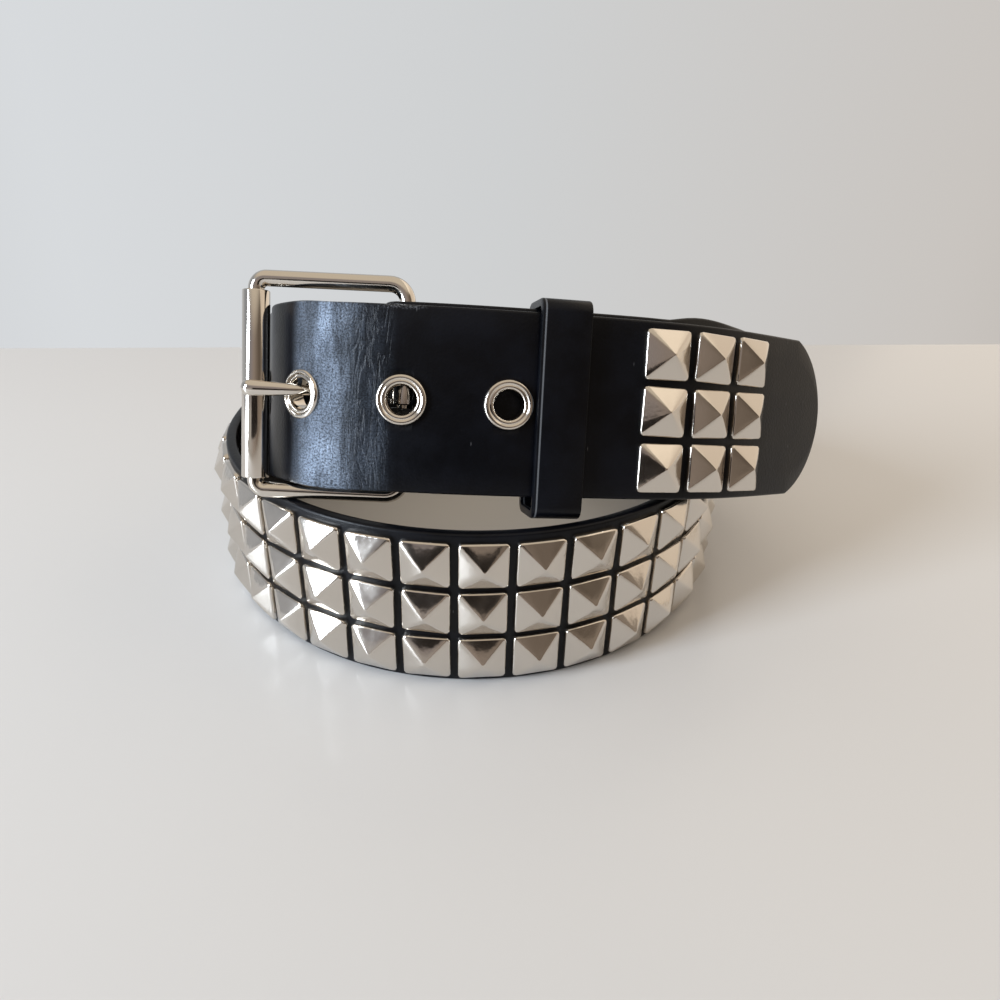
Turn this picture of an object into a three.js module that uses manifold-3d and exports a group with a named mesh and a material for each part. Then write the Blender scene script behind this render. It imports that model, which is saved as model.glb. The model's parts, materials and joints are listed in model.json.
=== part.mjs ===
// A studded leather belt, fastened with a roller buckle and rolled into two turns that
// stand on edge: a round lower turn on the table, and an upper turn that leans back on it.
// Millimetres, Z up, X to the right, Y away from the viewer.
import * as THREE from "three";
import { mergeVertices } from "three/addons/utils/BufferGeometryUtils.js";
import Module from "manifold-3d";

// Strap
const STRAP_WIDTH = 44.45;
const STRAP_THICK = 3;
const STRAP_CHAMFER = 0.45;
const TIP_ROUND_OVER_HALF = 1.775;
const TIP_FLAT = 5;
const FLAP_LENGTH = 52;
const FLAP_OPENS = 17.5;
const LAYER_GAP = 0.95;
const FIT_GAP = 0.3;
const CUT_MARGIN = 0.25;

// Coil: the lower turn is a circle, the upper turn lies in a plane that slopes down to the back
const COIL_RADIUS = 74.8;
const UPPER_LEAN = 20.6;
const UPPER_SIDE_FALL = 0.9;
const UPPER_OVER_LOWER = 6.1;
const BUCKLE_END_RAISED = 1.2;
const CHORD_ERROR = 0.12;
const LONGEST_STEP = 10;
const PROBE = 0.25;
const SIMPLIFY = 0.03;

// Pyramid studs in three rows
const STUD_SIZE = 12.45;
const STUD_SKIRT = 1.3;
const STUD_RISE = 3.1;
const STUD_BEVEL = 0.4;
const ROW_COUNT = 3;
const ROW_GAP = 1.6;
const FIELD_GAP = 1.4;
const FIELD_PHASE = -0.6;
const FIELD_FROM_BAR = 93;
const FIELD_FROM_TIP = 226;
const WEB_THICK = 0.7;
const STUD_SINK = 0.15;
const WEB_MARGIN = 0.2;
const TIP_STUD_COLUMNS = 3;
const TIP_STUD_GAP = 1.8;
const TIP_STUD_START = 39.8;

// Eyelets
const EYELET_COUNT = 5;
const PRONG_EYELET = 2;
const EYELET_PITCH = 25.4;
const EYELET_FROM_TIP = 107.6;
const PRONG_EYELET_TO_BAR = 25;
const EYELET_HOLE = 3.5;
const EYELET_WALL = 0.5;
const EYELET_RIM = 6.1;
const EYELET_PROUD = 1.1;
const EYELET_BACK_RIM = 5;
const EYELET_BACK_THICK = 0.5;
const EYELET_SIDES = 10;

// Buckle
const WIRE = 4;
const WIRE_SIDES = 8;
const BUCKLE_SPAN = 37.3;
const BUCKLE_SIDE_GAP = 1.875;
const BUCKLE_CORNER = 4.4;
const BUCKLE_RISE = 0.7;
const ROLLER_OUTER = 3.35;
const ROLLER_WALL = 0.9;
const ROLLER_END_GAP = 1;
const ROLLER_EDGE = 0.3;
const PRONG_THICK = 2.9;
const PRONG_CLIMB = 25;
const PRONG_EYE_WIDTH = 5;
const PRONG_EYE_WALL = 1.5;
const PRONG_OVERHANG = 0.6;
const PRONG_HEEL = 4;
const PRONG_EYE_JOIN = 0.6;
const PRONG_FLAT = 5;
const PRONG_TIP_DROP = 0.3;
const SLOT_WIDTH = 6.6;
const SLOT_REACH = 5.6;

// Keeper loop
const KEEPER_FROM_BAR = 38.5;
const KEEPER_WIDTH = 12.4;
const KEEPER_THICK = 2;
const KEEPER_OVER_EDGE = 2.3;
const KEEPER_DROP = 0.9;
const KEEPER_CORNER = 3.2;

const wasm = await Module();
wasm.setup();

const radians = THREE.MathUtils.degToRad;
const lean = radians(UPPER_LEAN);
const sideFall = radians(UPPER_SIDE_FALL);
const foldRadius = WIRE / 2 + FIT_GAP + CHORD_ERROR + STRAP_THICK / 2;
const layerPitch = STRAP_THICK + LAYER_GAP;
const studTop = STUD_SKIRT + STUD_RISE;
const tipRound = STRAP_WIDTH / 2 + TIP_ROUND_OVER_HALF;
const rowPitch = STUD_SIZE + ROW_GAP;
const fieldPitch = STUD_SIZE + FIELD_GAP;
const tipStudPitch = STUD_SIZE + TIP_STUD_GAP;
const buckleInside = STRAP_WIDTH + 2 * BUCKLE_SIDE_GAP;
const frontLift = STRAP_WIDTH + UPPER_OVER_LOWER;

const leather = { color: 0x15171c, roughness: 0.42, metalness: 0 };
const nickel = { color: 0xcdc6ba, roughness: 0.16, metalness: 1 };
const leatherMaterial = () => new THREE.MeshStandardMaterial(leather);
const nickelMaterial = () => new THREE.MeshStandardMaterial(nickel);

// The strap's route, seen from above, as shares of the coil's radius. rise is how far its
// lower edge follows the upper turn's sloping plane: 0 is on the table, 1 is in that plane.
// lean is the share of that plane's tilt that the strap takes, and raised is how many
// millimetres it sits higher than the plane, where it passes over the lower turn.
// The front stretch carries two layers behind it, the buckle end and its fold.
const FRONT = [
  { right: -0.201, back: -0.898, rise: 1, lean: 1 },
  { right: -0.07, back: -0.898, rise: 1, lean: 1 },
  { right: 0.063, back: -0.889, rise: 1, lean: 1 },
  { right: 0.194, back: -0.873, rise: 1, lean: 1 },
  { right: 0.325, back: -0.852, rise: 1, lean: 1 },
  { right: 0.456, back: -0.827, rise: 1, lean: 1 },
  { right: 0.584, back: -0.798, rise: 1, lean: 1 },
  { right: 0.709, back: -0.76, rise: 1, lean: 1 },
];
const BUCKLE_END_TO_TABLE = [
  { right: 0.805, back: -0.652, rise: 1, lean: 1.06, raised: 2.6 },
  { right: 0.93, back: -0.555, rise: 1, lean: 1.03, raised: 1.9 },
  { right: 1.05, back: -0.4, rise: 1, lean: 0.95, raised: 1.2 },
  { right: 1.13, back: -0.19, rise: 1, lean: 0.85, raised: 0.5 },
  { right: 1.157, back: 0.04, rise: 1, lean: 0.7 },
  { right: 1.137, back: 0.29, rise: 1, lean: 0.54 },
  { right: 1.05, back: 0.55, rise: 0.8, lean: 0.38 },
  { right: 0.88, back: 0.79, rise: 0.4, lean: 0.24 },
  { right: 0.62, back: 0.965, rise: 0.12, lean: 0.12 },
  { right: 0.29, back: 1.065, rise: 0, lean: 0.04 },
  { right: -0.06, back: 1.085, rise: 0, lean: 0 },
  { right: -0.4, back: 1.01, rise: 0, lean: 0 },
  { right: -0.69, back: 0.83, rise: 0, lean: 0 },
  { right: -0.89, back: 0.57, rise: 0, lean: 0 },
  { right: -0.985, back: 0.27, rise: 0, lean: 0 },
];
const RING_FROM = -90;
const RING_TO = 90;
const RING_STEPS = 12;
const TABLE_TO_HOLES = [
  { right: 0.975, back: 0.26, rise: 0, lean: 0 },
  { right: 0.88, back: 0.51, rise: 0, lean: 0 },
  { right: 0.7, back: 0.725, rise: 0, lean: 0 },
  { right: 0.455, back: 0.865, rise: 0, lean: 0 },
  { right: 0.16, back: 0.92, rise: 0, lean: 0 },
  { right: -0.14, back: 0.91, rise: 0, lean: 0.05 },
  { right: -0.395, back: 0.82, rise: 0.15, lean: 0.14 },
  { right: -0.6, back: 0.655, rise: 0.5, lean: 0.26 },
  { right: -0.73, back: 0.445, rise: 0.85, lean: 0.4 },
  { right: -0.81, back: 0.21, rise: 1, lean: 0.55 },
  { right: -0.819, back: -0.04, rise: 1, lean: 0.7 },
  { right: -0.793, back: -0.27, rise: 1, lean: 0.84 },
  { right: -0.747, back: -0.44, rise: 1, lean: 0.94 },
  { right: -0.705, back: -0.56, rise: 1, lean: 1 },
  { right: -0.662, back: -0.682, rise: 1, lean: 1, raised: 0.4 },
  { right: -0.594, back: -0.778, rise: 1, lean: 1, raised: 0.4 },
  { right: -0.522, back: -0.846, rise: 1, lean: 1, raised: 0.3 },
  { right: -0.435, back: -0.884, rise: 1, lean: 1 },
  { right: -0.33, back: -0.897, rise: 1, lean: 1 },
];
const FREE_TIP = [
  { right: 0.83, back: -0.706, rise: 1, lean: 1 },
  { right: 0.945, back: -0.638, rise: 1, lean: 1 },
  { right: 1.06, back: -0.555, rise: 1, lean: 1 },
  { right: 1.175, back: -0.463, rise: 1, lean: 1 },
  { right: 1.29, back: -0.37, rise: 1, lean: 1 },
  { right: 1.405, back: -0.276, rise: 1, lean: 1 },
];

// The eyelet's front face: shares of its rim's width out from the hole, and of its height.
const EYELET_FACE = [
  { out: 0.885, rise: 0 },
  { out: 1, rise: 0.36 },
  { out: 0.73, rise: 1 },
  { out: 0.42, rise: 0.55 },
  { out: 0.15, rise: 0.73 },
  { out: 0, rise: 0.36 },
];

// The prong's line through its eyelet: shares of the hole's radius, along the belt from the
// hole's middle towards the bar, and how far it has climbed there, at its own slope.
const PRONG_IN_HOLE = [
  { along: 2, climbed: -1.77 },
  { along: 0.86, climbed: -0.86 },
  { along: 0, climbed: 0.245 },
  { along: -0.86, climbed: 1.085 },
];

// Height over the table of the upper turn's lower edge.
function upperHeight(x, y) {
  const behindFront = y - FRONT[1].back * COIL_RADIUS;
  return frontLift - behindFront * Math.tan(lean) - x * Math.tan(sideFall);
}

// Direction across the strap's width, from the lower edge to the upper one.
function widthDirection(share) {
  return new THREE.Vector3(share * Math.tan(sideFall), Math.tan(share * lean), 1).normalize();
}

function place(row) {
  const { right, back, rise, lean: tilt, raised = 0 } = row;
  return { x: right * COIL_RADIUS, y: back * COIL_RADIUS, rise, tilt, raised };
}

// Middle of the strap's width at a place on the route.
function strapCentre(spot) {
  const edgeDrop = (STRAP_THICK / 2) * Math.sin(spot.tilt * lean);
  const height = Math.max(spot.rise * upperHeight(spot.x, spot.y), edgeDrop);
  const across = widthDirection(spot.tilt);
  const reach = STRAP_WIDTH / 2 + spot.raised;
  return new THREE.Vector3(spot.x, spot.y, height).addScaledVector(across, reach);
}

// Moves the places of the upper turn towards the inside of the coil, in their own plane.
function layerBehind(spots, depth) {
  return spots.map((spot, i) => {
    const before = spots[Math.max(i - 1, 0)];
    const after = spots[Math.min(i + 1, spots.length - 1)];
    const along = new THREE.Vector2(after.x - before.x, (after.y - before.y) / Math.cos(lean));
    along.normalize();
    const x = spot.x - along.y * depth;
    const y = spot.y + along.x * depth * Math.cos(lean);
    return { ...spot, x, y, raised: BUCKLE_END_RAISED };
  });
}

const front = FRONT.map(place);
const buckleEnd = layerBehind(front, layerPitch);
const [barSpot] = layerBehind(front.slice(0, 2), layerPitch + foldRadius);

// The fold that goes round the buckle's inner bar, from behind it to its front.
function foldSpots() {
  const steps = 8;
  const spots = [];
  for (let i = 0; i <= steps; i++) {
    const turn = (Math.PI * i) / steps;
    const x = barSpot.x - foldRadius * Math.sin(turn);
    const y = barSpot.y + foldRadius * Math.cos(turn) * Math.cos(lean);
    spots.push({ ...barSpot, x, y });
  }
  return spots;
}

// The fold's end lies behind the buckle end and closes up to it past the bar.
function flapSpots() {
  const behind = layerBehind(front, 2 * layerPitch);
  const spots = behind.filter((spot) => {
    const reach = spot.x - barSpot.x;
    return reach > FLAP_OPENS && reach < FLAP_LENGTH;
  });
  const last = spots[spots.length - 1];
  const next = behind[behind.indexOf(last) + 1];
  const share = (barSpot.x + FLAP_LENGTH - last.x) / (next.x - last.x);
  spots.push({
    ...last,
    x: last.x + (next.x - last.x) * share,
    y: last.y + (next.y - last.y) * share,
  });
  return spots.reverse();
}

function ringSpots() {
  const spots = [];
  for (let i = 0; i <= RING_STEPS; i++) {
    const turn = radians(RING_FROM + ((RING_TO - RING_FROM) * i) / RING_STEPS);
    spots.push(place({ right: Math.sin(turn), back: -Math.cos(turn), rise: 0, lean: 0 }));
  }
  return spots;
}

// The whole route from the fold's end to the tip, as a curve that is measured by its length.
class StrapRoute {
  constructor(spots) {
    const middle = new THREE.CatmullRomCurve3(spots.map(strapCentre), false, "centripetal");
    const across = new THREE.CatmullRomCurve3(
      spots.map((spot) => widthDirection(spot.tilt)),
      false,
      "centripetal",
    );
    const perSpot = 40;
    const count = (spots.length - 1) * perSpot;
    this.samples = [];
    let length = 0;
    let previous = null;
    for (let i = 0; i <= count; i++) {
      const point = middle.getPoint(i / count);
      if (previous) length += point.distanceTo(previous);
      previous = point;
      this.samples.push({
        length,
        point,
        tangent: middle.getTangent(i / count),
        across: across.getPoint(i / count),
      });
    }
    this.length = length;
    this.spotLength = spots.map((spot, i) => this.samples[i * perSpot].length);
  }

  // Point, travel direction, width direction and outward direction at a length.
  at(length) {
    const list = this.samples;
    let low = 0;
    let high = list.length - 1;
    while (high - low > 1) {
      const mid = (low + high) >> 1;
      if (list[mid].length > length) high = mid;
      else low = mid;
    }
    const a = list[low];
    const b = list[high];
    const share = (length - a.length) / Math.max(b.length - a.length, 1e-9);
    const tangent = a.tangent.clone().lerp(b.tangent, share).normalize();
    const width = a.across.clone().lerp(b.across, share);
    width.addScaledVector(tangent, -width.dot(tangent)).normalize();
    const outward = new THREE.Vector3().crossVectors(tangent, width);
    const point = a.point.clone().addScaledVector(b.point.clone().sub(a.point), share);
    return { point, tangent, width, outward };
  }

  // The flat facet of the strap between two lengths, with the frame of its middle.
  facet(from, to) {
    const start = this.at(from);
    const end = this.at(to);
    const point = start.point.clone().lerp(end.point, 0.5);
    const tangent = end.point.clone().sub(start.point).normalize();
    const width = start.width.clone().add(end.width);
    width.addScaledVector(tangent, -width.dot(tangent)).normalize();
    return { point, tangent, width, outward: new THREE.Vector3().crossVectors(tangent, width) };
  }

  // Lengths from one place to another, closer together where the route bends more.
  stations(from, to) {
    const count = Math.ceil((to - from) / PROBE);
    const probe = (to - from) / count;
    const spent = [0];
    for (let i = 0; i < count; i++) {
      const here = this.at(from + i * probe).tangent;
      const ahead = this.at(from + (i + 1) * probe).tangent;
      const bend = Math.max(here.angleTo(ahead) / probe, 1e-3);
      const step = Math.min(Math.sqrt((8 * CHORD_ERROR) / bend), LONGEST_STEP);
      spent.push(spent[i] + probe / step);
    }
    const pieces = Math.ceil(spent[count]);
    const list = [];
    let reached = 0;
    for (let k = 0; k <= pieces; k++) {
      while (reached < count && spent[reached] < (spent[count] * k) / pieces) reached++;
      list.push(from + reached * probe);
    }
    return list;
  }
}

const flap = flapSpots();
const fold = foldSpots();
const approach = [
  ...flap,
  ...fold,
  ...buckleEnd.slice(1),
  ...BUCKLE_END_TO_TABLE.map(place),
  ...ringSpots(),
  ...TABLE_TO_HOLES.map(place),
];
const route = new StrapRoute([...approach, ...front, ...FREE_TIP.map(place)]);
const barLength = route.spotLength[flap.length + fold.length - 1];
const ringMiddle = route.spotLength[
  flap.length + fold.length + buckleEnd.length - 1 + BUCKLE_END_TO_TABLE.length + RING_STEPS / 2
];
const frontBarLength = route.spotLength[approach.length];

// A closed mesh through rings of points, with flat ends, or with its last ring joined to its
// first. The rings of a turned mesh run the other way round.
function sweep(rings, { joined = false, turned = false } = {}) {
  const count = rings[0].length;
  const positions = rings.flat().flatMap((point) => point.toArray());
  const index = [];
  for (let i = 0; i + 1 < rings.length; i++) {
    for (let j = 0; j < count; j++) {
      const a = i * count + j;
      const b = i * count + ((j + 1) % count);
      index.push(a, b, b + count, a, b + count, a + count);
    }
  }
  const end = (rings.length - 1) * count;
  if (joined) {
    for (let j = 0; j < count; j++) {
      const next = (j + 1) % count;
      index.push(end + j, end + next, next, end + j, next, j);
    }
  } else {
    for (let j = 1; j + 1 < count; j++) {
      index.push(0, j + 1, j);
      index.push(end, end + j, end + j + 1);
    }
  }
  if (turned) index.reverse();
  const geometry = new THREE.BufferGeometry();
  geometry.setAttribute("position", new THREE.Float32BufferAttribute(positions, 3));
  geometry.setIndex(index);
  return geometry;
}

// A section of the strap between two widths and two depths, with cut corners.
function bandRing(length, low, high, inner, outer, cut) {
  const { point, width, outward } = route.at(length);
  const [lowGap, highGap] = [low, high].map((edge) => (edge * rowPitch) / STRAP_WIDTH);
  const corners = [
    [low + cut, inner],
    [high - cut, inner],
    [high, inner + cut],
    [high, outer - cut],
    [high - cut, outer],
    [highGap, outer],
    [lowGap, outer],
    [low + cut, outer],
    [low, outer - cut],
    [low, inner + cut],
  ];
  return corners.map(([across, depth]) =>
    point.clone().addScaledVector(width, across).addScaledVector(outward, depth),
  );
}

function toSolid(geometry) {
  const bare = new THREE.BufferGeometry();
  bare.setAttribute("position", geometry.getAttribute("position"));
  bare.setIndex(geometry.index);
  const merged = mergeVertices(bare, 1e-4);
  return new wasm.Manifold(
    new wasm.Mesh({
      numProp: 3,
      vertProperties: new Float32Array(merged.attributes.position.array),
      triVerts: new Uint32Array(merged.index.array),
    }),
  );
}

function toGeometry(solid) {
  const mesh = solid.getMesh();
  const geometry = new THREE.BufferGeometry();
  geometry.setAttribute("position", new THREE.BufferAttribute(mesh.vertProperties, 3));
  geometry.setIndex(new THREE.BufferAttribute(mesh.triVerts, 1));
  geometry.computeVertexNormals();
  return geometry;
}

// Matrix that puts a turned shape, whose axis is its Y, on the strap facing outwards. The
// strap is flat for a stated reach to both sides of it, as a stiff metal piece holds it.
function onStrap(length, reach, across, depth) {
  const { point, tangent, width, outward } = route.facet(length - reach, length + reach);
  const spot = point.clone().addScaledVector(width, across).addScaledVector(outward, depth);
  return new THREE.Matrix4()
    .makeBasis(tangent, outward, width.clone().negate())
    .setPosition(spot);
}

function named(name, geometry, material, matrix) {
  const mesh = new THREE.Mesh(geometry, material);
  mesh.name = name;
  if (matrix) matrix.decompose(mesh.position, mesh.quaternion, mesh.scale);
  return mesh;
}

const half = STRAP_THICK / 2;
const prongEyeletLength = frontBarLength - PRONG_EYELET_TO_BAR;
const tipLength = prongEyeletLength + PRONG_EYELET * EYELET_PITCH + EYELET_FROM_TIP;
const tipCentre = tipLength - tipRound;
const eyeletReach = EYELET_RIM + FIT_GAP;
const eyeletLengths = Array.from(
  { length: EYELET_COUNT },
  (unused, i) => tipLength - EYELET_FROM_TIP - i * EYELET_PITCH,
);

// Half of the strap's width, which is rounded off at the tip.
function halfWidth(length) {
  const past = length - tipCentre;
  const straight = Math.sqrt(Math.max(tipRound ** 2 - (STRAP_WIDTH / 2) ** 2, 0));
  if (past <= straight) return STRAP_WIDTH / 2;
  return Math.sqrt(Math.max(tipRound ** 2 - past ** 2, (TIP_FLAT / 2) ** 2));
}

function tipStations() {
  const steps = 9;
  const first = Math.asin(Math.sqrt(tipRound ** 2 - (STRAP_WIDTH / 2) ** 2) / tipRound);
  const last = Math.acos(TIP_FLAT / 2 / tipRound);
  return Array.from(
    { length: steps + 1 },
    (unused, i) => tipCentre + tipRound * Math.sin(first + ((last - first) * i) / steps),
  );
}

// Ends of the strap's flat facets: those under the long field, the tip studs and the eyelets.
function flatStretches() {
  const field = fieldColumns();
  const stretches = [field.edges];
  const tipEdges = [];
  for (let i = 0; i <= TIP_STUD_COLUMNS; i++) {
    tipEdges.push(tipLength - TIP_STUD_START - (TIP_STUD_COLUMNS - i - 0.5) * tipStudPitch);
  }
  stretches.push(tipEdges);
  for (const length of eyeletLengths) stretches.push([length - eyeletReach, length + eyeletReach]);
  return stretches.sort((a, b) => a[0] - b[0]);
}

function strapLengths() {
  const tip = tipStations();
  const lengths = [];
  let from = 0;
  for (const edges of [...flatStretches(), tip]) {
    lengths.push(...route.stations(from, edges[0]).slice(0, -1), ...edges.slice(0, -1));
    from = edges[edges.length - 1];
  }
  lengths.push(from);
  return lengths;
}

function strapGeometry() {
  const lengths = strapLengths();
  const rings = lengths.map((length) => {
    const reach = halfWidth(length);
    return bandRing(length, -reach, reach, -half, half, STRAP_CHAMFER);
  });
  let solid = toSolid(sweep(rings));
  const hole = EYELET_HOLE + EYELET_WALL + FIT_GAP;
  const recess = EYELET_BACK_THICK + FIT_GAP;
  for (const length of eyeletLengths) {
    const throughHeight = STRAP_THICK + 2 * CUT_MARGIN;
    const through = new THREE.CylinderGeometry(hole, hole, throughHeight, EYELET_SIDES);
    const wide = EYELET_BACK_RIM + FIT_GAP;
    const seat = new THREE.CylinderGeometry(wide, wide, recess + CUT_MARGIN, EYELET_SIDES);
    seat.translate(0, -half + (recess - CUT_MARGIN) / 2, 0);
    for (const cutter of [through, seat]) {
      solid = solid.subtract(toSolid(cutter.applyMatrix4(onStrap(length, eyeletReach, 0, 0))));
    }
  }
  return toGeometry(solid.subtract(prongSlot()));
}

// Axes of the buckle: along the belt, across its width, and outwards.
const buckleUp = widthDirection(1);
const buckleAlong = new THREE.Vector3(1, 0, 0).addScaledVector(buckleUp, -buckleUp.x).normalize();
const buckleOut = new THREE.Vector3().crossVectors(buckleAlong, buckleUp);
const barCentre = strapCentre(barSpot).addScaledVector(buckleUp, BUCKLE_RISE);

// Matrix of the buckle's frame at a place along it and outwards from its bar.
function onBuckle(along, across, out) {
  const spot = barCentre
    .clone()
    .addScaledVector(buckleAlong, along)
    .addScaledVector(buckleUp, across)
    .addScaledVector(buckleOut, out);
  return new THREE.Matrix4().makeBasis(buckleAlong, buckleUp, buckleOut).setPosition(spot);
}

// The oval slot in the fold, where the prong turns on its bar.
function prongSlot() {
  const reach = SLOT_REACH - SLOT_WIDTH / 2;
  const left = -foldRadius - STRAP_THICK;
  const shape = new THREE.Shape();
  shape.moveTo(left, -SLOT_WIDTH / 2);
  shape.lineTo(reach, -SLOT_WIDTH / 2);
  shape.absarc(reach, 0, SLOT_WIDTH / 2, -Math.PI / 2, Math.PI / 2);
  shape.lineTo(left, SLOT_WIDTH / 2);
  shape.closePath();
  const depth = 2 * (foldRadius + half) + LAYER_GAP;
  const geometry = new THREE.ExtrudeGeometry(shape, { depth, bevelEnabled: false, curveSegments: 8 });
  geometry.translate(0, 0, -depth + foldRadius + half + LAYER_GAP / 2);
  return toSolid(geometry.applyMatrix4(onBuckle(0, -BUCKLE_RISE, 0)));
}

// The wire frame: a rectangle with round corners, as rings round its centre line.
function buckleFrame() {
  const cornerSteps = 5;
  const x = BUCKLE_SPAN / 2 - BUCKLE_CORNER;
  const y = (buckleInside + WIRE) / 2 - BUCKLE_CORNER;
  const corners = [
    { x: -x, y: -y, from: 180 },
    { x, y: -y, from: 270 },
    { x, y, from: 0 },
    { x: -x, y, from: 90 },
  ];
  const rings = [];
  for (const corner of corners) {
    for (let i = 0; i <= cornerSteps; i++) {
      const turn = radians(corner.from + (90 * i) / cornerSteps);
      const away = new THREE.Vector3(Math.cos(turn), Math.sin(turn), 0);
      const centre = new THREE.Vector3(corner.x, corner.y, 0).addScaledVector(away, BUCKLE_CORNER);
      rings.push(wireRing(centre, away));
    }
  }
  const place = onBuckle(-BUCKLE_SPAN / 2, 0, 0);
  return named("buckle_frame", sweep(rings, { joined: true, turned: true }), nickelMaterial(), place);
}

function wireRing(centre, away) {
  const side = new THREE.Vector3(0, 0, 1);
  return Array.from({ length: WIRE_SIDES }, (unused, i) => {
    const turn = (2 * Math.PI * i) / WIRE_SIDES;
    const point = centre.clone().addScaledVector(away, (WIRE / 2) * Math.cos(turn));
    return point.addScaledVector(side, (WIRE / 2) * Math.sin(turn));
  });
}

function buckleRoller() {
  const reach = buckleInside / 2 - ROLLER_END_GAP;
  const inner = ROLLER_OUTER - ROLLER_WALL;
  const profile = [
    [inner, -reach],
    [ROLLER_OUTER - ROLLER_EDGE, -reach],
    [ROLLER_OUTER, -reach + ROLLER_EDGE],
    [ROLLER_OUTER, reach - ROLLER_EDGE],
    [ROLLER_OUTER - ROLLER_EDGE, reach],
    [inner, reach],
    [inner, -reach],
  ].map(([radius, height]) => new THREE.Vector2(radius, height));
  const geometry = new THREE.LatheGeometry(profile, 16);
  return named("buckle_roller", geometry, nickelMaterial(), onBuckle(-BUCKLE_SPAN, 0, 0));
}

// The prong turns on the inner bar, rises through its eyelet and rests on the roller.
function buckleProng() {
  const rest = ROLLER_OUTER + FIT_GAP + PRONG_THICK / 2;
  const eyeOuter = WIRE / 2 + FIT_GAP + PRONG_EYE_WALL;
  const eyelet = eyeletLengths[PRONG_EYELET];
  const hole = route.facet(eyelet - eyeletReach, eyelet + eyeletReach).point.sub(barCentre);
  const holeAlong = hole.dot(buckleAlong);
  const holeOut = hole.dot(buckleOut);
  const climb = Math.tan(radians(PRONG_CLIMB));
  const inHole = PRONG_IN_HOLE.map(({ along, climbed }) => [
    holeAlong + along * EYELET_HOLE,
    holeOut + climbed * EYELET_HOLE * climb,
  ]);
  const points = [
    [-eyeOuter + PRONG_EYE_JOIN, 0],
    [-eyeOuter - PRONG_HEEL, 0],
    ...inHole,
    [-BUCKLE_SPAN + PRONG_FLAT, rest - PRONG_TIP_DROP / 3],
    [-BUCKLE_SPAN, rest],
    [-BUCKLE_SPAN - PRONG_OVERHANG, rest - PRONG_TIP_DROP],
  ].map(([along, out]) => new THREE.Vector3(along, 0, out));
  const spine = new THREE.CatmullRomCurve3(points, false, "centripetal");
  const section = new THREE.Shape().absarc(0, 0, PRONG_THICK / 2, 0, 2 * Math.PI);
  const shaft = new THREE.ExtrudeGeometry(section, {
    steps: 18,
    curveSegments: 4,
    bevelEnabled: false,
    extrudePath: spine,
  });
  const nose = new THREE.SphereGeometry(PRONG_THICK / 2, 8, 6);
  nose.translate(...points[points.length - 1].toArray());
  const eye = new THREE.LatheGeometry(
    [
      [WIRE / 2 + FIT_GAP, -PRONG_EYE_WIDTH / 2],
      [eyeOuter, -PRONG_EYE_WIDTH / 2],
      [eyeOuter, PRONG_EYE_WIDTH / 2],
      [WIRE / 2 + FIT_GAP, PRONG_EYE_WIDTH / 2],
      [WIRE / 2 + FIT_GAP, -PRONG_EYE_WIDTH / 2],
    ].map(([radius, height]) => new THREE.Vector2(radius, height)),
    12,
  );
  const solid = toSolid(shaft).add(toSolid(nose)).add(toSolid(eye));
  const across = -BUCKLE_RISE;
  return named("buckle_prong", toGeometry(solid), nickelMaterial(), onBuckle(0, across, 0));
}

// A stud is a turned shape with four sides: a straight skirt under a low pyramid.
function studGeometry(bottom, bevel) {
  const corner = STUD_SIZE / Math.SQRT2;
  const inset = bevel * Math.SQRT2;
  const profile = [
    [0, bottom],
    [corner, bottom],
    [corner, STUD_SKIRT - bevel],
    [corner - inset, STUD_SKIRT],
    [0, studTop],
  ];
  if (!bevel) profile.splice(2, 1);
  const points = profile.map(([radius, height]) => new THREE.Vector2(radius, height));
  return new THREE.LatheGeometry(points, 4).rotateY(Math.PI / 4);
}

function rowOffset(row) {
  return ((ROW_COUNT - 1) / 2 - row) * rowPitch;
}

// Lengths of the gaps between the long field's columns, from its first edge to its last.
function fieldColumns() {
  const phase = ringMiddle + FIELD_PHASE;
  const first = Math.ceil((barLength + FIELD_FROM_BAR - phase) / fieldPitch);
  const last = Math.floor((tipLength - FIELD_FROM_TIP - phase) / fieldPitch);
  const edges = [];
  for (let i = first; i <= last; i++) edges.push(phase + i * fieldPitch);
  return { edges, count: last - first };
}

// The long field: every stud is fused to a thin web that follows the strap's outer face.
function studField() {
  const { edges, count } = fieldColumns();
  const reach = ((ROW_COUNT - 1) * rowPitch + STUD_SIZE) / 2 - WEB_MARGIN;
  const inner = half + FIT_GAP;
  const outer = inner + WEB_THICK;
  const web = edges.map((length) => {
    const { point, width, outward } = route.at(length);
    const corner = (across, depth) =>
      point.clone().addScaledVector(width, across).addScaledVector(outward, depth);
    const gap = rowPitch / 2;
    return [
      corner(-reach, outer),
      corner(-gap, outer),
      corner(gap, outer),
      corner(reach, outer),
      corner(reach, inner),
      corner(gap, inner),
      corner(-gap, inner),
      corner(-reach, inner),
    ];
  });
  const pieces = [toSolid(sweep(web, { turned: true }))];
  for (let column = 0; column < count; column++) {
    const length = (edges[column] + edges[column + 1]) / 2;
    for (let row = 0; row < ROW_COUNT; row++) {
      const spot = onStrap(length, fieldPitch / 2, rowOffset(row), inner);
      pieces.push(toSolid(studGeometry(WEB_THICK - STUD_SINK, 0).applyMatrix4(spot)));
    }
  }
  const solid = wasm.Manifold.union(pieces).simplify(SIMPLIFY);
  return named("stud_field", toGeometry(solid), nickelMaterial());
}

function tipStuds() {
  const studs = new THREE.Group();
  for (let column = 0; column < TIP_STUD_COLUMNS; column++) {
    const length = tipLength - TIP_STUD_START - column * tipStudPitch;
    for (let row = 0; row < ROW_COUNT; row++) {
      const name = `tip_stud_${column + 1}_${row + 1}`;
      const spot = onStrap(length, tipStudPitch / 2, rowOffset(row), half + FIT_GAP);
      studs.add(named(name, studGeometry(0, STUD_BEVEL), nickelMaterial(), spot));
    }
  }
  return studs;
}

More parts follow.
